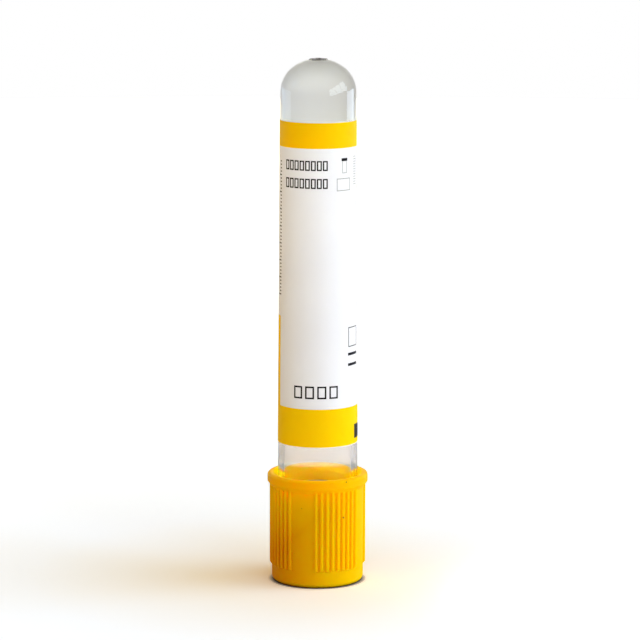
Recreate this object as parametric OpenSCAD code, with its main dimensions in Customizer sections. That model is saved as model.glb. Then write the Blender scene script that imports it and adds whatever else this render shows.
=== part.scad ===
// Blood collection tube with its stopper and safety cap, standing on the cap.
// The origin is the middle of the cap's flat end. +Z runs up the tube, to its closed round end.

/* [Tube] */
// Outside diameter at the open mouth
tube_d = 13.0; // [12.8:0.05:13.2]
// Outside diameter where the round end begins
tip_d = 12.16; // [12.0:0.02:12.4]
// Length from the mouth to the closed end
tube_len = 75; // [65:1:100]
// Thickness of the wall
tube_wall = 1.0; // [0.8:0.05:1.1]
// Radius across the middle of the round end
crown_r = 6.8; // [6.5:0.1:8]
// Radius where the round end meets the side
knuckle_r = 5.0; // [4.5:0.1:5.4]
// Rounding of the two edges of the mouth
mouth_edge = 0.25; // [0.1:0.05:0.35]
// Radius of the moulded ring around the gate
gate_ring_r = 1.4; // [1:0.1:2]
// Radius of the gate's pip
gate_pip_r = 0.35; // [0.2:0.05:0.5]
// Height of the gate's pip
gate_pip_h = 0.1; // [0.05:0.05:0.2]

/* [Cap] */
// Height of the cap
cap_h = 17.8; // [17:0.1:20]
// Length of the skirt that hangs over the tube's mouth
skirt_len = 7.8; // [7:0.1:9]
// Diameter of the plain band at the flat end
cap_d = 14.84; // [14.6:0.02:15]
// How much wider the wall is under the rim than at the flat end
cap_draft = 0.16; // [0:0.02:0.3]
// Rounding of the flat end's edge
cap_edge = 0.8; // [0.4:0.1:1]
// Thickness of the flat end
cap_end = 1.3; // [1:0.1:1.6]
// Diameter of the rim
rim_d = 16.3; // [16:0.1:17]
// Height of the rim's upright face, with its rounded lip
rim_h = 1.4; // [1:0.1:2]
// Height of the slope under the rim
rim_slope = 0.9; // [0.5:0.1:1.2]
// Outer rounding of the lip
lip_r = 0.45; // [0.2:0.05:0.5]
// Inside diameter of the lip
lip_d = 14.2; // [14:0.1:14.6]
// Inside diameter of the skirt
skirt_d = 13.4; // [13.3:0.02:13.5]
// Depth of the flare from the lip to the skirt
flare_h = 1.3; // [0.8:0.1:2]
// Inside diameter round the stopper's head
seat_d = 13.2; // [13.1:0.02:13.4]
// Diameter of the opening for the needle
port_d = 8.4; // [7:0.1:9]
// Thickness of the collar round that opening
collar_wall = 1.0; // [0.8:0.1:1.2]
// Height of the collar from the flat end
collar_h = 4.0; // [3:0.1:4.5]
// Radius of the bead that holds the stopper in
bead_r = 0.35; // [0.2:0.05:0.4]
// Height of the bead from the flat end
bead_z = 7; // [6:0.1:8]

/* [Grip ribs] */
// Groups of ribs round the cap, with a smooth panel between each two
rib_groups = 4; // [3:1:4]
// Ribs in each group
ribs_in_group = 9; // [5:1:9]
// Angle from one rib to the next
rib_pitch = 7; // [6:0.1:7]
// Width of a rib
rib_w = 0.58; // [0.4:0.02:0.64]
// Diameter over the ribs
rib_over_d = 15.6; // [15.5:0.02:15.7]
// Height at which the ribs begin
rib_z = 2.6; // [2:0.1:4]
// Angle to the middle of one smooth panel
panel_turn = 251.1; // [0:0.1:360]

/* [Stopper] */
// Diameter of the head
head_d = 12.9; // [12.6:0.1:13]
// Length of the plug inside the tube
plug_len = 5.4; // [4:0.1:6]
// Diameter of the plug between its sealing rings
plug_d = 10.4; // [10:0.1:10.6]
// Radius of a sealing ring's section
seal_r = 0.4; // [0.3:0.05:0.5]
// Gap between a sealing ring and the tube's wall
seal_gap = 0.04; // [0.02:0.01:0.08]
// Diameter of the recess that faces the needle
recess_d = 6.0; // [5:0.1:7]
// Depth of that recess
recess_h = 4; // [3:0.1:4.5]
// Diameter of the hollow in the plug's inner end
hollow_d = 6.4; // [5:0.1:7]
// Depth of that hollow
hollow_h = 3.9; // [3:0.1:4.5]

/* [Label] */
// Distance from the tube's mouth to the label
label_start = 12.9; // [10:0.1:16]
// Width of the label along the tube
label_len = 52.4; // [45:0.1:54]
// Thickness of the label
label_t = 0.07; // [0.05:0.01:0.15]
// Angle of clear wall between the label's two ends
label_window = 45; // [20:1:90]

/* [Separator gel] */
// Depth of the gel from the inside of the round end
gel_depth = 15.5; // [10:0.5:20]
// Slant of the gel's open surface
gel_slant = 5; // [0:1:10]

/* [Hidden] */
$fn = 96;

cap_yellow = [1.0, 0.68, 0.02];
rubber_grey = [0.45, 0.45, 0.47];
clear_plastic = [0.86, 0.88, 0.88, 0.4];
paper_white = [0.96, 0.96, 0.95];
gel_grey = [0.84, 0.83, 0.80, 0.8];

mouth_z = cap_h - skirt_len;
tube_top = mouth_z + tube_len;
tube_r = tube_d / 2;
tip_r = tip_d / 2;

// The round end: a wide crown arc, and a knuckle arc that is tangent to it and to the side
crown_z = tube_top - gate_pip_h - crown_r;
knuckle_x = tip_r - knuckle_r;
knuckle_rise = sqrt(pow(crown_r - knuckle_r, 2) - pow(knuckle_x, 2));
knuckle_z = crown_z + knuckle_rise;
crown_angle = atan2(knuckle_rise, knuckle_x);
gate_ring_z = crown_z + sqrt(pow(crown_r, 2) - pow(gate_ring_r, 2));

rim_r = rim_d / 2;
rim_z = cap_h - rim_h;
lip_inner_r = lip_d / 2;
lip_edge = 0.2;
corner_r = 0.5;
cap_r = cap_d / 2;
wall_top_r = cap_r + cap_draft / 2;
port_r = port_d / 2;
seat_r = seat_d / 2;
skirt_r = skirt_d / 2;
rib_top_z = rim_z - rim_slope / 2;
rib_crest_r = rib_over_d / 2;
rib_bite = 0.3;

head_r = head_d / 2;
head_chamfer = 0.3;
plug_top = mouth_z + plug_len;
plug_chamfer = 0.5;
recess_top = collar_h + recess_h;
recess_bevel = 0.4;
hollow_z = plug_top - hollow_h;
seal_low_z = mouth_z + 0.25 * plug_len;
seal_high_z = mouth_z + 0.68 * plug_len;

label_z = mouth_z + label_start;
label_top = label_z + label_len;
gel_z = crown_z + crown_r - tube_wall - gel_depth;
far = 4 * tube_d;

// Outside radius of the tube at a height
function tube_r_at(z) = tube_r + (tip_r - tube_r) * (z - mouth_z) / (knuckle_z - mouth_z);

// Half section of the tube's round end, taken in from the outside by inset
module round_end_2d(inset) {
    translate([knuckle_x, knuckle_z])
        intersection() {
            circle(r = knuckle_r - inset);
            square(knuckle_r);
        }
    intersection() {
        translate([0, crown_z]) circle(r = crown_r - inset);
        polygon([
            [0, crown_z],
            [far * cos(crown_angle), crown_z + far * sin(crown_angle)],
            [0, crown_z + far]
        ]);
    }
    polygon([
        [0, knuckle_z - 1],
        [knuckle_x, knuckle_z - 1],
        [knuckle_x, knuckle_z + (knuckle_r - inset) * sin(crown_angle) / 2],
        [0, knuckle_z + 1]
    ]);
}

// Half section of everything inside the tube's outer face, taken in by inset
module tube_2d(inset) {
    round_end_2d(inset);
    polygon([
        [0, mouth_z],
        [tube_r - inset, mouth_z],
        [tip_r - inset, knuckle_z],
        [0, knuckle_z]
    ]);
}

// The moulded tube: a long cone with a round closed end, open below
module tube() {
    color(clear_plastic) {
        rotate_extrude() {
            difference() {
                tube_2d(0);
                tube_2d(tube_wall);
                translate([0, mouth_z - mouth_edge]) square([tube_d, 2 * mouth_edge]);
            }
            // Rounded edges of the mouth
            for (r = [tube_r - mouth_edge, tube_r - tube_wall + mouth_edge])
                translate([r, mouth_z + mouth_edge]) circle(r = mouth_edge);
            translate([tube_r - tube_wall + mouth_edge, mouth_z])
                square([tube_wall - 2 * mouth_edge, 2 * mouth_edge]);
        }
        // Gate: a low ring with a pip in its middle
        translate([0, 0, gate_ring_z])
            rotate_extrude() translate([gate_ring_r, 0]) circle(r = gate_pip_h);
        translate([0, 0, tube_top - 2 * gate_pip_h])
            cylinder(r = gate_pip_r, h = 2 * gate_pip_h);
    }
}

// The paper label, wrapped round the tube with a clear window left between its ends
module label() {
    color(paper_white)
        rotate([0, 0, 90 + label_window / 2])
            rotate_extrude(angle = 360 - label_window)
                polygon([
                    [tube_r_at(label_z), label_z],
                    [tube_r_at(label_z) + label_t, label_z],
                    [tube_r_at(label_top) + label_t, label_top],
                    [tube_r_at(label_top), label_top]
                ]);
}

// The plug of gel in the round end, with a slightly slanted open surface
module gel() {
    color(gel_grey)
        difference() {
            rotate_extrude()
                intersection() {
                    tube_2d(tube_wall);
                    translate([0, gel_z - tube_d]) square([tube_d, far]);
                }
            translate([0, 0, gel_z])
                rotate([0, gel_slant, 0])
                    translate([-far / 2, -far / 2, -far]) cube([far, far, far]);
        }
}

// Half section of the cap's moulded shell
module cap_shell_2d() {
    polygon([
        [port_r, 0],
        [cap_r - cap_edge, 0],
        [cap_r, cap_edge],
        [wall_top_r, rim_z - rim_slope],
        [rim_r, rim_z],
        [rim_r, cap_h - lip_r],
        [rim_r - lip_r, cap_h],
        [lip_inner_r + lip_edge, cap_h],
        [lip_inner_r, cap_h - lip_edge],
        [skirt_r, cap_h - flare_h],
        [skirt_r, mouth_z],
        [seat_r, mouth_z - head_chamfer],
        [seat_r, cap_end],
        [port_r + collar_wall, cap_end],
        [port_r + collar_wall, collar_h],
        [port_r, collar_h]
    ]);
    translate([cap_r - cap_edge, 0]) intersection() {
        translate([0, cap_edge]) circle(r = cap_edge);
        square(cap_edge);
    }
    // Rounded inner corner, where the side meets the flat end
    difference() {
        translate([seat_r - corner_r, cap_end]) square(corner_r);
        translate([seat_r - corner_r, cap_end + corner_r]) circle(r = corner_r);
    }
    translate([rim_r - lip_r, cap_h - lip_r]) circle(r = lip_r);
    translate([lip_inner_r + lip_edge, cap_h - lip_edge]) circle(r = lip_edge);
    translate([seat_r, bead_z]) circle(r = bead_r);
}

// Cross section of all the ribs, as round bars that stand half out of the wall
module ribs_2d() {
    group_turn = 360 / rib_groups;
    for (g = [0 : rib_groups - 1], i = [0 : ribs_in_group - 1])
        rotate(panel_turn + (g + 0.5) * group_turn + (i - (ribs_in_group - 1) / 2) * rib_pitch)
            translate([rib_crest_r - rib_w / 2, 0]) circle(d = rib_w);
}

// The ribs at their full height, with their lower ends sloped into the wall
module ribs() {
    intersection() {
        translate([0, 0, rib_z]) linear_extrude(rib_top_z - rib_z) ribs_2d();
        rotate_extrude()
            polygon([
                [cap_r - rib_bite, 0],
                [cap_r, rib_z],
                [rib_crest_r, rib_z + rib_crest_r - cap_r],
                [rib_crest_r, rib_top_z],
                [cap_r - rib_bite, rib_top_z]
            ]);
    }
}

// The moulded safety cap, open at the rim, with the needle's opening in its flat end
module cap() {
    color(cap_yellow) {
        rotate_extrude() cap_shell_2d();
        ribs();
    }
}

// Half section of the rubber stopper
module stopper_2d() {
    difference() {
        union() {
            polygon([
                [0, collar_h],
                [head_r - head_chamfer, collar_h],
                [head_r, collar_h + head_chamfer],
                [head_r, mouth_z - head_chamfer],
                [head_r - head_chamfer, mouth_z],
                [plug_d / 2, mouth_z],
                [plug_d / 2, plug_top - plug_chamfer],
                [plug_d / 2 - plug_chamfer, plug_top],
                [0, plug_top]
            ]);
            for (z = [seal_low_z, seal_high_z])
                translate([tube_r_at(z) - tube_wall - seal_gap - seal_r, z]) circle(r = seal_r);
        }
        // Groove round the head for the cap's bead
        translate([seat_r, bead_z]) circle(r = bead_r + head_chamfer / 4);
        // Recess that faces the needle, with a bevelled mouth and floor
        polygon([
            [0, collar_h],
            [recess_d / 2 + recess_bevel, collar_h],
            [recess_d / 2, collar_h + recess_bevel],
            [recess_d / 2, recess_top - recess_bevel],
            [recess_d / 2 - recess_bevel, recess_top],
            [0, recess_top]
        ]);
        // Hollow in the inner end
        polygon([
            [0, hollow_z],
            [hollow_d / 2 - recess_bevel, hollow_z],
            [hollow_d / 2, hollow_z + recess_bevel],
            [hollow_d / 2, plug_top],
            [0, plug_top]
        ]);
    }
}

// The rubber stopper: a head held in the cap, and a ringed plug in the tube's mouth
module stopper() {
    color(rubber_grey) rotate_extrude() stopper_2d();
}

cap();
stopper();
tube();
label();
gel();
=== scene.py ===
from math import acos, cos, pi, radians, sin, tan

import bpy
from mathutils import Matrix, Vector


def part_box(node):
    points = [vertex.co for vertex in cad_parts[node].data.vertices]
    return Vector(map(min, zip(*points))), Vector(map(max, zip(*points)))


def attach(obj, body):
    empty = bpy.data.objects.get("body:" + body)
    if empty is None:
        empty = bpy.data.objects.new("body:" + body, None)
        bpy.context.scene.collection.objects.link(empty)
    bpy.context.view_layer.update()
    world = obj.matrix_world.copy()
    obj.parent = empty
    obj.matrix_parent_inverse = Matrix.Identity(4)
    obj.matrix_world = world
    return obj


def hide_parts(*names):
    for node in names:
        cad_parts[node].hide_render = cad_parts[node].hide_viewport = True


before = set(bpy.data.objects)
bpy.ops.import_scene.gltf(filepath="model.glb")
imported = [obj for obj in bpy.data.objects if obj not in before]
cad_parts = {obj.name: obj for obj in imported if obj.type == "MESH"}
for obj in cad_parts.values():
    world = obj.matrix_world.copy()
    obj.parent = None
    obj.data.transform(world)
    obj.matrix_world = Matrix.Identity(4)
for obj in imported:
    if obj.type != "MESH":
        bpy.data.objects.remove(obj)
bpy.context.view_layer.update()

# Camera: a long lens half a metre away and a little above the tube, looking slightly down, so that
# the oval of the cap's open rim and the crown of the round end both show.
MM = 0.001
LENS = 185.5
CAMERA_PLACE = Vector((0.34 * MM, -524.6 * MM, 130.2 * MM))
CAMERA_PITCH = radians(9.47)
CAMERA_ROLL = radians(0.117)

lens = bpy.data.cameras.new("camera")
lens.lens = LENS
lens.clip_start = 10 * MM
camera = bpy.data.objects.new("camera", lens)
tilt = Matrix.Rotation(pi / 2 - CAMERA_PITCH, 4, "X") @ Matrix.Rotation(CAMERA_ROLL, 4, "Z")
camera.matrix_world = Matrix.Translation(CAMERA_PLACE) @ tilt
bpy.context.collection.objects.link(camera)
bpy.context.scene.camera = camera
bpy.context.scene.view_settings.view_transform = "Standard"


# Room: pale walls with a warm, weak light of their own, which the eye sees as white. A gloss on the tube,
# or a look through its clear plastic, finds that white behind it and near darkness in front of it.
ROOM_LIGHT = (0.54, 0.38, 0.165)
ROOM_SEEN = (1, 1, 1)
DARK_IN_FRONT = 0.05
GLOSS_REACH_IN_ROOM = 0.5


def feed(tree, socket, value):
    """Links a socket to another node's output, or sets it to a value."""
    if isinstance(value, bpy.types.NodeSocket):
        tree.links.new(value, socket)
    elif socket.type == "RGBA":
        socket.default_value = (*value, 1)
    else:
        socket.default_value = value


def add_node(tree, kind, **values):
    """A node of that kind, with each input that is named here linked or set."""
    node = tree.nodes.new(kind)
    for name, value in values.items():
        feed(tree, node.inputs[name.replace("_", " ")], value)
    return node


def calculate(tree, operation, *values):
    """The result of one step of arithmetic."""
    step = tree.nodes.new("ShaderNodeMath")
    step.operation = operation
    for socket, value in zip(step.inputs, values):
        feed(tree, socket, value)
    return step.outputs["Value"]


def ramp(tree, value, low, high, start=0, end=1, smooth=False):
    """A number that goes from start to end while a value goes from low to high."""
    limits = {"From_Min": low, "From_Max": high, "To_Min": start, "To_Max": end}
    node = add_node(tree, "ShaderNodeMapRange", Value=value, **limits)
    node.interpolation_type = "SMOOTHSTEP" if smooth else "LINEAR"
    return node.outputs["Result"]


def blend(tree, share, start, end):
    """A colour that goes from start to end while a share goes from 0 to 1."""
    node = tree.nodes.new("ShaderNodeMix")
    node.data_type = "RGBA"
    for socket, value in zip((node.inputs[0], node.inputs[6], node.inputs[7]), (share, start, end)):
        feed(tree, socket, value)
    return node.outputs[2]


def seen_directly(tree, place, reach):
    """Two numbers. The first is 1 for the eye and through clear plastic and 0 for light, and in a gloss
    it rises from 0 to 1 over a reach behind the tube. The second falls from 1 to 0 over the same reach,
    in a gloss and through clear plastic, and is 0 for the rest."""
    path = tree.nodes.new("ShaderNodeLightPath")
    axes = add_node(tree, "ShaderNodeSeparateXYZ", Vector=place)
    behind = ramp(tree, axes.outputs["Y"], 0, reach)
    glossed = calculate(tree, "MULTIPLY", path.outputs["Is Glossy Ray"], behind)
    in_front = calculate(tree, "SUBTRACT", path.outputs["Is Glossy Ray"], glossed)
    direct = calculate(tree, "MAXIMUM", path.outputs["Is Camera Ray"], path.outputs["Is Transmission Ray"])
    return calculate(tree, "MAXIMUM", glossed, direct), in_front


world = bpy.data.worlds.new("room")
world.use_nodes = True
tree = world.node_tree
direction = tree.nodes.new("ShaderNodeTexCoord").outputs["Generated"]
seen_share, in_front = seen_directly(tree, direction, GLOSS_REACH_IN_ROOM)
walls = tree.nodes["Background"]
feed(tree, walls.inputs["Color"], blend(tree, seen_share, ROOM_LIGHT, ROOM_SEEN))
feed(tree, walls.inputs["Strength"], ramp(tree, in_front, 0, 1, 1, DARK_IN_FRONT))
bpy.context.scene.world = world


# Table: a matt white top that the tube stands on. The eye sees it white, and bluer further off. Close to
# the tube it is painted darker and warmer: painted shade with painted warm light from the yellow cap in
# it. A thin painted contact shadow lies where the cap stands on it.
TABLE_R = 0.8
TABLE_WHITE = (0.80, 0.80, 0.80)
# Close to the tube the seen colour is darker and warmer: painted shade and painted warm light from the cap
TABLE_NEAR_SHADE_AND_GLOW = (1.26, 1.31, 1.38)
TABLE_MIDDLE = (1.37, 1.56, 1.95)
TABLE_FAR = (2.5, 2.9, 3.6)
NEAR_REACH = 18 * MM
MIDDLE_REACH = 48 * MM
FAR_REACH = 400 * MM
CONTACT_SHADOW_REACH = 0.9 * MM
CONTACT_SHADOW_DEPTH = 2
CONTACT_SHADOW_SAMPLES = 8
GLOSS_REACH_ON_TABLE = 0.2


def new_material(name, **values):
    """A new material with its node tree and its one shader, whose inputs are set as they are named."""
    material = bpy.data.materials.new(name)
    material.use_nodes = True
    shader = material.node_tree.nodes["Principled BSDF"]
    for socket, value in values.items():
        feed(material.node_tree, shader.inputs[socket.replace("_", " ")], value)
    return material, material.node_tree, shader


def distance_from_axis(tree, place):
    """How far a place is from the tube's upright axis."""
    flat = tree.nodes.new("ShaderNodeVectorMath")
    flat.operation = "MULTIPLY"
    feed(tree, flat.inputs[0], place)
    feed(tree, flat.inputs[1], (1, 1, 0))
    distance = tree.nodes.new("ShaderNodeVectorMath")
    distance.operation = "LENGTH"
    feed(tree, distance.inputs[0], flat.outputs["Vector"])
    return distance.outputs["Value"]


bpy.ops.mesh.primitive_circle_add(vertices=96, radius=TABLE_R, fill_type="NGON")
table = bpy.context.object
table.name = "table"
matt_white, tree, shader = new_material("matt_white_table", Roughness=0.7, Specular_IOR_Level=0.2)
place = tree.nodes.new("ShaderNodeTexCoord").outputs["Object"]
away = distance_from_axis(tree, place)
near_shade_and_glow = blend(tree, ramp(tree, away, NEAR_REACH, MIDDLE_REACH), TABLE_NEAR_SHADE_AND_GLOW, TABLE_MIDDLE)
further_off = blend(tree, ramp(tree, away, MIDDLE_REACH, FAR_REACH), near_shade_and_glow, TABLE_FAR)
seen_share, in_front = seen_directly(tree, place, GLOSS_REACH_ON_TABLE)
# Painted contact shadow: ambient occlusion darkens the table in a thin line round the cap's foot
corner = add_node(tree, "ShaderNodeAmbientOcclusion", Distance=CONTACT_SHADOW_REACH)
corner.samples = CONTACT_SHADOW_SAMPLES
contact_shadow = calculate(tree, "POWER", corner.outputs["AO"], CONTACT_SHADOW_DEPTH)
shade = calculate(tree, "MULTIPLY", contact_shadow, ramp(tree, in_front, 0, 1, 1, DARK_IN_FRONT))
shaded = tree.nodes.new("ShaderNodeVectorMath")
shaded.operation = "SCALE"
feed(tree, shaded.inputs[0], blend(tree, seen_share, TABLE_WHITE, further_off))
feed(tree, shaded.inputs["Scale"], shade)
feed(tree, shader.inputs["Base Color"], shaded.outputs["Vector"])
table.data.materials.append(matt_white)


# Window and lamps: one wide, low window on the right gives a cool light, and soft lamps stand for the
# sky above it and the room in front. A gloss shows bright planes in their place, which light nothing.
WINDOW_LIGHT = (0.74, 0.86, 1.0)
WINDOW_POWER = 10.3
WINDOW_X = 1.36
WINDOW_SPAN = (-1.98, 0.2)
WINDOW_HEIGHT = 0.65
WINDOW_MIDDLE = 0.305
WINDOW_LEAN = radians(2.2)
WINDOW_PANES = 4
WINDOW_BAR = 0.04
GLINT_STRENGTH = 6.5
GLINT_MIDDLE = 0.43
GLINT_LEAN = radians(4.5)
LOW_STRENGTH = 6
WALL_STRENGTH = 0.4 * LOW_STRENGTH
LAMP_DISTANCE = 1.5


def flat_placement(place, facing, lean):
    """Puts a flat thing at a place and faces it in a direction, its width level but for a small lean."""
    turn = Vector(facing).to_track_quat("-Z", "Y").to_matrix().to_4x4()
    return Matrix.Translation(place) @ turn @ Matrix.Rotation(lean, 4, "Z")


def panel_light(name, place, facing, size, power, colour, lean=0):
    """A wide, flat lamp that no gloss or clear plastic shows."""
    light = bpy.data.lights.new(name, "AREA")
    light.shape = "RECTANGLE"
    light.size, light.size_y = size
    light.energy = power
    light.color = colour
    lamp = bpy.data.objects.new(name, light)
    lamp.matrix_world = flat_placement(place, facing, lean)
    lamp.visible_glossy = lamp.visible_transmission = False
    bpy.context.collection.objects.link(lamp)
    return lamp


def lamp_round(name, azimuth, elevation, size, power, colour):
    """A panel that faces the tube from a direction, given in degrees from the front and up."""
    around, up = radians(azimuth), radians(elevation)
    outward = Vector((sin(around) * cos(up), -cos(around) * cos(up), sin(up)))
    panel_light(name, outward * LAMP_DISTANCE, -outward, size, power, colour)


def shine(name, place, facing, size, strength, lean=0):
    """A bright plane that shows in a gloss and lights nothing."""
    bpy.ops.mesh.primitive_plane_add(size=1)
    plane = bpy.context.object
    plane.name = name
    plane.matrix_world = flat_placement(place, facing, lean) @ Matrix.Diagonal((*size, 1, 1))
    finish, _, _ = new_material(
        name, Base_Color=(0, 0, 0), Emission_Color=WINDOW_LIGHT, Emission_Strength=strength
    )
    finish.cycles.emission_sampling = "NONE"
    plane.data.materials.append(finish)
    plane.visible_camera = plane.visible_diffuse = plane.visible_transmission = False
    plane.visible_shadow = False


window_place = (WINDOW_X, sum(WINDOW_SPAN) / 2, WINDOW_MIDDLE)
window_size = (WINDOW_SPAN[1] - WINDOW_SPAN[0], WINDOW_HEIGHT)
panel_light("window", window_place, (-1, 0, 0), window_size, WINDOW_POWER, WINDOW_LIGHT, WINDOW_LEAN)
pane_span = window_size[0] / WINDOW_PANES
pane_size = (pane_span - WINDOW_BAR, WINDOW_HEIGHT)
for pane in range(WINDOW_PANES):
    middle = WINDOW_SPAN[0] + (pane + 0.5) * pane_span
    rise = (middle - window_place[1]) * tan(GLINT_LEAN)
    pane_place = (WINDOW_X, middle, GLINT_MIDDLE + rise)
    shine(f"pane_{pane}", pane_place, (-1, 0, 0), pane_size, GLINT_STRENGTH, GLINT_LEAN)
shine(
    "low_pane", place=(0.299, 0.139, 0.045), facing=(-0.299, -0.139, 0), size=(0.227, 0.09),
    strength=LOW_STRENGTH
)
shine(
    "low_wall", place=(-0.28, 0.14, 0.045), facing=(0.28, -0.14, 0), size=(0.3, 0.09),
    strength=WALL_STRENGTH
)
glow = panel_light(
    "table_glow", place=(45 * MM, -8 * MM, 7 * MM), facing=(-1, 0.18, 0), size=(20 * MM, 12 * MM),
    power=0.0043, colour=(1, 1, 1)
)
glow.visible_camera = False
lamp_round("skylight", azimuth=88, elevation=48, size=(1.0, 0.8), power=6, colour=(0.40, 0.68, 1))
lamp_round("front_lamp", azimuth=15, elevation=20, size=(1.5, 0.8), power=10, colour=(0.60, 0.81, 1))


# Light inside the tube: what has soaked in through the paper label, the gel and the cap's thin wall.
# Small lamps on the tube's axis stand for it and move with the tube.
INNER_POWER = 0.0031
INNER_LIGHT = (0.98, 0.98, 0.60)
INNER_R = 2 * MM
# Each lamp's height, as a share of the tube's, and its share of the power
INNER_LAMPS = ((0.12, 0.6), (0.34, 0.3), (0.50, 0.35), (0.65, 0.45), (0.80, 0.75))

tube_low, tube_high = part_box("tube")
for row, (height_share, power_share) in enumerate(INNER_LAMPS):
    light = bpy.data.lights.new(f"inner_{row}", "POINT")
    light.shadow_soft_size = INNER_R
    light.energy = INNER_POWER * power_share
    light.color = INNER_LIGHT
    # Without this the clear wall keeps back part of the lamp's light
    light.cycles.use_multiple_importance_sampling = False
    lamp = bpy.data.objects.new(f"inner_{row}", light)
    lamp.location = (0, 0, tube_low.z + height_share * (tube_high.z - tube_low.z))
    lamp.visible_camera = lamp.visible_glossy = lamp.visible_transmission = False
    bpy.context.collection.objects.link(lamp)
    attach(lamp, "sample_tube")


# Tube: one injection moulding in clear PET, 13 mm at its open mouth and a little narrower towards its
# round end, where the gate leaves a few dark marks. The inside is sprayed with clot activator, which
# dries to a faint haze.
MOUTH_R = tube_high.x
TIP_R = 6.08 * MM
KNUCKLE_Z = tube_low.z + 69.54 * MM
PET_CLEAR = (0.94, 0.945, 0.94)
COAT_COLOUR = (0.94, 0.90, 0.93)
COAT_CLEAR = 0.84
COAT_START = 18.6 * MM
COAT_FADE = 0.9 * MM
COAT_SLANT = 0.267
COAT_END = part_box("gel")[0].z
GATE_DARK = (0.03, 0.015, 0.02)
GATE_R = 1.4 * MM
GATE_EDGE = 0.8 * MM
GATE_Z = tube_high.z - 0.3 * MM
GATE_RISE = 0.02 * MM
GATE_MARKS = (0.43, 0.46)


def add_relief(tree, shader, place, scale, detail, strength, depth):
    """A fine, uneven relief in a surface. Its pattern, from 0 to 1, is handed back."""
    pattern = add_node(tree, "ShaderNodeTexNoise", Vector=place, Scale=scale, Detail=detail).outputs["Fac"]
    relief = add_node(tree, "ShaderNodeBump", Height=pattern, Strength=strength, Distance=depth)
    feed(tree, shader.inputs["Normal"], relief.outputs["Normal"])
    return pattern


clear_pet, tree, shader = new_material("clear_pet", Roughness=0.05, IOR=1.4, Specular_IOR_Level=0.15)
place = tree.nodes.new("ShaderNodeTexCoord").outputs["Object"]
axes = add_node(tree, "ShaderNodeSeparateXYZ", Vector=place)
slanted = calculate(tree, "MULTIPLY_ADD", axes.outputs["Y"], COAT_SLANT, axes.outputs["Z"])
coated = ramp(tree, slanted, COAT_START, COAT_START + COAT_FADE, smooth=True)
under_gel = calculate(tree, "LESS_THAN", axes.outputs["Z"], COAT_END)
hazed = calculate(tree, "MULTIPLY", coated, under_gel)
blotches = add_node(tree, "ShaderNodeTexNoise", Vector=place, Scale=1900, Detail=1).outputs["Fac"]
near_gate = ramp(tree, distance_from_axis(tree, place), GATE_R + GATE_EDGE, GATE_R)
at_crown = ramp(tree, axes.outputs["Z"], GATE_Z, GATE_Z + GATE_RISE)
at_gate = calculate(tree, "MULTIPLY", near_gate, at_crown)
scorched = ramp(tree, calculate(tree, "MULTIPLY", blotches, at_gate), *GATE_MARKS)
tint = blend(tree, hazed, PET_CLEAR, COAT_COLOUR)
feed(tree, shader.inputs["Base Color"], blend(tree, scorched, tint, GATE_DARK))
clear = calculate(tree, "SUBTRACT", ramp(tree, hazed, 0, 1, 1, COAT_CLEAR), scorched)
feed(tree, shader.inputs["Transmission Weight"], calculate(tree, "MAXIMUM", clear, 0))
add_relief(tree, shader, place, scale=180, detail=2, strength=0.03, depth=0.1 * MM)
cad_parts["tube"].data.materials[0] = clear_pet
# Lamps shine straight through plastic as clear as this
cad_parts["tube"].visible_shadow = False


def wall_radius(z):
    """Outside radius of the tube's slightly conical side at a height."""
    return MOUTH_R + (TIP_R - MOUTH_R) * (z - tube_low.z) / (KNUCKLE_Z - tube_low.z)


# Gel: a plug of clear grey separator gel that was dosed warm into the round end and set there. It wets
# the wall, so it has no gap or edge of its own there, and its open surface is a little slanted.
CROWN_R = 6.8 * MM
KNUCKLE_R = 5.0 * MM
KNUCKLE_X = TIP_R - KNUCKLE_R
WALL = 1.0 * MM
WETTING = 0.05 * MM
GEL_SLANT = radians(5)
GEL_RISE = 0.45 * MM
MENISCUS = 0.45 * MM
MENISCUS_CURVE = 12
GEL_GREY = (0.73, 0.735, 0.755)
GEL_THIN_GREY = (0.93, 0.93, 0.92)
AROUND = 96
SURFACE_STEPS = 14
ARC_STEPS = 12
SHARP = radians(40)


def mesh_piece(name, points, faces, material):
    """A smooth mesh object with sharp corners kept, in one material."""
    mesh = bpy.data.meshes.new(name)
    mesh.from_pydata(points, [], faces)
    mesh.materials.append(material)
    mesh.shade_smooth()
    mesh.set_sharp_from_angle(angle=SHARP)
    piece = bpy.data.objects.new(name, mesh)
    bpy.context.collection.objects.link(piece)
    return piece


# The gel's outline as rings: radius, height and slope, over the open surface and then up the wall
gel_low, gel_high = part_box("gel")
gel_inset = WALL - WETTING
gel_middle = gel_low.z + GEL_RISE
surface_r = wall_radius(gel_middle) - gel_inset
rings = []
for step in range(SURFACE_STEPS + 1):
    reach = surface_r * sin(step / SURFACE_STEPS * pi / 2)
    dip = MENISCUS * (reach / surface_r) ** MENISCUS_CURVE
    rings.append((reach, gel_middle - dip, tan(GEL_SLANT)))
knuckle_r = KNUCKLE_R - gel_inset
crown_r = CROWN_R - gel_inset
crown_z = gel_high.z + WALL - CROWN_R
crown_turn = acos(KNUCKLE_X / (CROWN_R - KNUCKLE_R))
for step in range(ARC_STEPS + 1):
    turn = crown_turn * step / ARC_STEPS
    rings.append((KNUCKLE_X + knuckle_r * cos(turn), KNUCKLE_Z + knuckle_r * sin(turn), 0))
for step in range(1, ARC_STEPS + 1):
    turn = crown_turn + (pi / 2 - crown_turn) * step / ARC_STEPS
    rings.append((crown_r * cos(turn), crown_z + crown_r * sin(turn), 0))

points = []
for radius, z, slope in rings:
    for around in range(AROUND):
        turn = 2 * pi * around / AROUND
        x = radius * cos(turn)
        points.append((x, radius * sin(turn), z - x * slope))
faces = []
for ring in range(len(rings) - 1):
    low, high = ring * AROUND, (ring + 1) * AROUND
    for here in range(AROUND):
        there = (here + 1) % AROUND
        faces.append((high + there, high + here, low + here, low + there))

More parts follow.
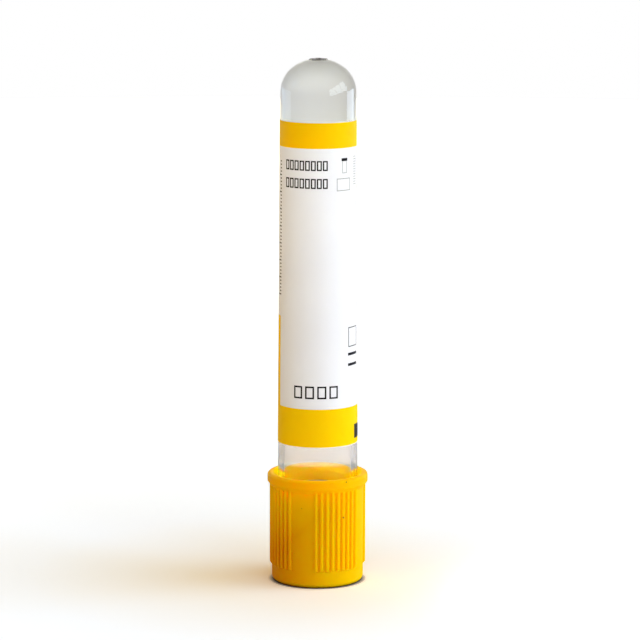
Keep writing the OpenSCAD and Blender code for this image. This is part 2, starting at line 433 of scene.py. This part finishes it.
hazy_gel, tree, shader = new_material(
    "hazy_gel", Roughness=0.45, IOR=1.4, Specular_IOR_Level=0.1, Transmission_Weight=0.95
)
place = tree.nodes.new("ShaderNodeTexCoord").outputs["Object"]
axes = add_node(tree, "ShaderNodeSeparateXYZ", Vector=place)
thinner = ramp(tree, axes.outputs["Z"], KNUCKLE_Z, gel_high.z)
feed(tree, shader.inputs["Base Color"], blend(tree, thinner, GEL_GREY, GEL_THIN_GREY))
add_relief(tree, shader, place, scale=240, detail=3, strength=0.15, depth=0.1 * MM)
gel = mesh_piece("separator_gel", points, faces, hazy_gel)
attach(gel, "sample_tube")
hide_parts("gel")
gel.visible_shadow = False


# Label: one strip of coated white paper, printed in yellow and black, and stuck round the tube with a
# clear window left between its two ends at the back.
PAPER = 0.07 * MM
GLUED_IN = 0.02 * MM
WINDOW_HALF = 22.5
TURN_STEPS = 105
HEIGHT_STEPS = 26
EDGE_MARGIN = 0.1
MM_PER_DEGREE = 0.111
LOW_BAND_TOP = 29.2
HIGH_BAND_FOOT = 71.1
SIDE_PANEL_EDGE = -69.5
SIDE_PANEL_TOP = 43.8
PAPER_WHITE = (0.83, 0.83, 0.90)
INK_YELLOW = (0.98, 0.64, 0.002)
INK_BLACK = (0.02, 0.018, 0.025)
INK_GREY = (0.35, 0.35, 0.36)
WHITE, YELLOW, BLACK, GREY = range(4)


def outlined_box(ink, turns, heights, stroke):
    """The four strokes of a box, as printed fields. The stroke's width is in millimetres."""
    side = stroke / MM_PER_DEGREE
    (left, right), (low, high) = turns, heights
    return [
        (ink, left, right, low, low + stroke),
        (ink, left, right, high - stroke, high),
        (ink, left, left + side, low, high),
        (ink, right - side, right, low, high),
    ]


# Each printed field is (ink, first turn, last turn, first height, last height), in degrees from the
# front towards the right and in millimetres up from the cap's flat end
label_low, label_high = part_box("label")
foot, head = label_low.z / MM, label_high.z / MM
first, last = -180 + WINDOW_HALF, 180 - WINDOW_HALF
print_fields = [
    (YELLOW, first, last, foot + EDGE_MARGIN, LOW_BAND_TOP),
    (YELLOW, first, last, HIGH_BAND_FOOT, head - EDGE_MARGIN),
    (YELLOW, first, SIDE_PANEL_EDGE, LOW_BAND_TOP, SIDE_PANEL_TOP),
    (BLACK, 65, 88, 23.84, 26.14),
]
# Two rows of eight boxes, and four tick boxes
for heights in ((67.6, 69.2), (64.75, 66.35)):
    for column in range(8):
        left = -54.7 + column * 8.8
        print_fields += outlined_box(BLACK, (left, left + 7.3), heights, stroke=0.22)
for column in range(4):
    left = -36 + column * 17.6
    print_fields += outlined_box(BLACK, (left, left + 13.2), (30.9, 32.95), stroke=0.26)
# A little capped tube, a frame, a lower frame and two bars
print_fields += outlined_box(GREY, (38, 47), (67.1, 69.1), stroke=0.1)
print_fields.append((BLACK, 36.6, 48, 69.05, 69.5))
print_fields += outlined_box(GREY, (28.4, 53.9), (64.3, 66.3), stroke=0.12)
print_fields += outlined_box(BLACK, (50, 74), (39.0, 42.2), stroke=0.14)
for low in (35.9, 37.6):
    print_fields.append((BLACK, 49, 74, low, low + 0.45))
# A scale of ticks up the left side, every fifth one longer, and a short row of fine ones on the right
for tick in range(40):
    length = 9 if tick % 5 == 0 else 5
    print_fields.append((BLACK, -68 - length, -68, 47.2 + tick * 0.55, 47.4 + tick * 0.55))
for tick in range(12):
    print_fields.append((GREY, 64, 72, 65.1 + tick * 0.4, 65.2 + tick * 0.4))


def ink_at(turn, height):
    """The ink of the topmost field at a place on the label."""
    for ink, left, right, low, high in reversed(print_fields):
        if left < turn < right and low < height < high:
            return ink
    return WHITE


# The sheet is cut along the edges of every field, so that each of its faces has one ink
turns = {first + (last - first) * n / TURN_STEPS for n in range(TURN_STEPS + 1)}
heights = {foot + (head - foot) * n / HEIGHT_STEPS for n in range(HEIGHT_STEPS + 1)}
for ink, left, right, low, high in print_fields:
    turns |= {left, right}
    heights |= {low, high}
turns, heights = sorted(turns), sorted(heights)
across, rows = len(turns), len(heights)
back = across * rows

points, faces, inks = [], [], []
for side in (PAPER, -GLUED_IN):
    for height in heights:
        for turn in turns:
            reach = wall_radius(height * MM) + side
            points.append((reach * sin(radians(turn)), -reach * cos(radians(turn)), height * MM))
for row in range(rows - 1):
    for column in range(across - 1):
        corner = row * across + column
        face = (corner, corner + 1, corner + across + 1, corner + across)
        middle_turn = (turns[column] + turns[column + 1]) / 2
        middle_height = (heights[row] + heights[row + 1]) / 2
        faces.append(face)
        faces.append(tuple(back + point for point in reversed(face)))
        inks += [ink_at(middle_turn, middle_height), WHITE]
# The cut edges of the paper: its foot and head, and then its two ends
for column in range(across - 1):
    top = (rows - 1) * across + column
    faces.append((column + 1, column, back + column, back + column + 1))
    faces.append((top, top + 1, back + top + 1, back + top))
    inks += [WHITE, WHITE]
for row in range(rows - 1):
    start, end = row * across, row * across + across - 1
    faces.append((start, start + across, back + start + across, back + start))
    faces.append((end + across, end, back + end, back + end + across))
    inks += [WHITE, WHITE]


def printed_paper(name, colour, roughness):
    """Coated paper in one ink, with a faint fibre relief under it."""
    material, tree, shader = new_material(
        name, Base_Color=colour, Roughness=roughness, Specular_IOR_Level=0.02,
        Subsurface_Weight=1, Subsurface_Radius=(1, 1, 1), Subsurface_Scale=0.1 * MM
    )
    place = tree.nodes.new("ShaderNodeTexCoord").outputs["Object"]
    add_relief(tree, shader, place, scale=2200, detail=5, strength=0.12, depth=0.02 * MM)
    return material


label = mesh_piece("label_strip", points, faces, printed_paper("white_paper", PAPER_WHITE, 0.5))
label.data.materials.append(printed_paper("yellow_ink", INK_YELLOW, 0.45))
label.data.materials.append(printed_paper("black_ink", INK_BLACK, 0.4))
label.data.materials.append(printed_paper("grey_ink", INK_GREY, 0.45))
label.data.polygons.foreach_set("material_index", inks)
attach(label, "sample_tube")
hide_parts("label")


# Stopper: one moulding in dark grey butyl rubber. Its head is held in the cap, and its ringed plug
# seals the tube's mouth. Rubber of this kind is matt, with a faint grain from the mould.
RUBBER_GREY = (0.10, 0.10, 0.11)
RUBBER_DULLNESS = (0.6, 0.8)

matt_rubber, tree, shader = new_material("matt_rubber", Base_Color=RUBBER_GREY, Specular_IOR_Level=0.35)
place = tree.nodes.new("ShaderNodeTexCoord").outputs["Object"]
grain = add_relief(tree, shader, place, scale=3500, detail=4, strength=0.3, depth=0.03 * MM)
feed(tree, shader.inputs["Roughness"], ramp(tree, grain, 0, 1, *RUBBER_DULLNESS))
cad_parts["stopper"].data.materials[0] = matt_rubber


# Cap: one moulding in yellow polyethylene with fine grip ribs and a wide rim, pressed on over the
# stopper and the tube's mouth. The plastic is waxy and light soaks a little way into it. Its colour
# holds painted shade: a deeper orange towards the bottom on the side away from the window, where the
# table's shadow takes light away. A few specks of dust stick to it.
YELLOW_IN_LIGHT = (0.99, 0.49, 0.001)
# The painted shade's colour, then the heights and the side over which it gives way to the lit yellow
YELLOW_IN_PAINTED_SHADE = (0.70, 0.265, 0.001)
PAINTED_SHADE_HEIGHTS = (4 * MM, 15 * MM)
WINDOW_SIDE = (-8 * MM, 3 * MM)
DUST_BROWN = (0.20, 0.08, 0.01)
DUST_DENSITY = 300
DUST_SIZE = 0.05
DUST_CORE = 0.6 * DUST_SIZE

yellow_polyethylene, tree, shader = new_material(
    "yellow_polyethylene", Roughness=0.45, Specular_IOR_Level=0.04,
    Subsurface_Weight=1, Subsurface_Radius=(1.0, 0.45, 0.04), Subsurface_Scale=2.0 * MM
)
place = tree.nodes.new("ShaderNodeTexCoord").outputs["Object"]
axes = add_node(tree, "ShaderNodeSeparateXYZ", Vector=place)
# Painted shade: the yellow turns deeper orange low down on the side away from the window
above_painted_shade = ramp(tree, axes.outputs["Z"], *PAINTED_SHADE_HEIGHTS, smooth=True)
towards_window = ramp(tree, axes.outputs["X"], *WINDOW_SIDE, smooth=True)
out_of_painted_shade = calculate(tree, "MAXIMUM", above_painted_shade, towards_window)
yellow = blend(tree, out_of_painted_shade, YELLOW_IN_PAINTED_SHADE, YELLOW_IN_LIGHT)
dust = add_node(tree, "ShaderNodeTexVoronoi", Vector=place, Scale=DUST_DENSITY).outputs["Distance"]
specks = ramp(tree, dust, DUST_SIZE, DUST_CORE)
feed(tree, shader.inputs["Base Color"], blend(tree, specks, yellow, DUST_BROWN))
add_relief(tree, shader, place, scale=2500, detail=4, strength=0.1, depth=0.03 * MM)
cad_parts["cap"].data.materials[0] = yellow_polyethylene
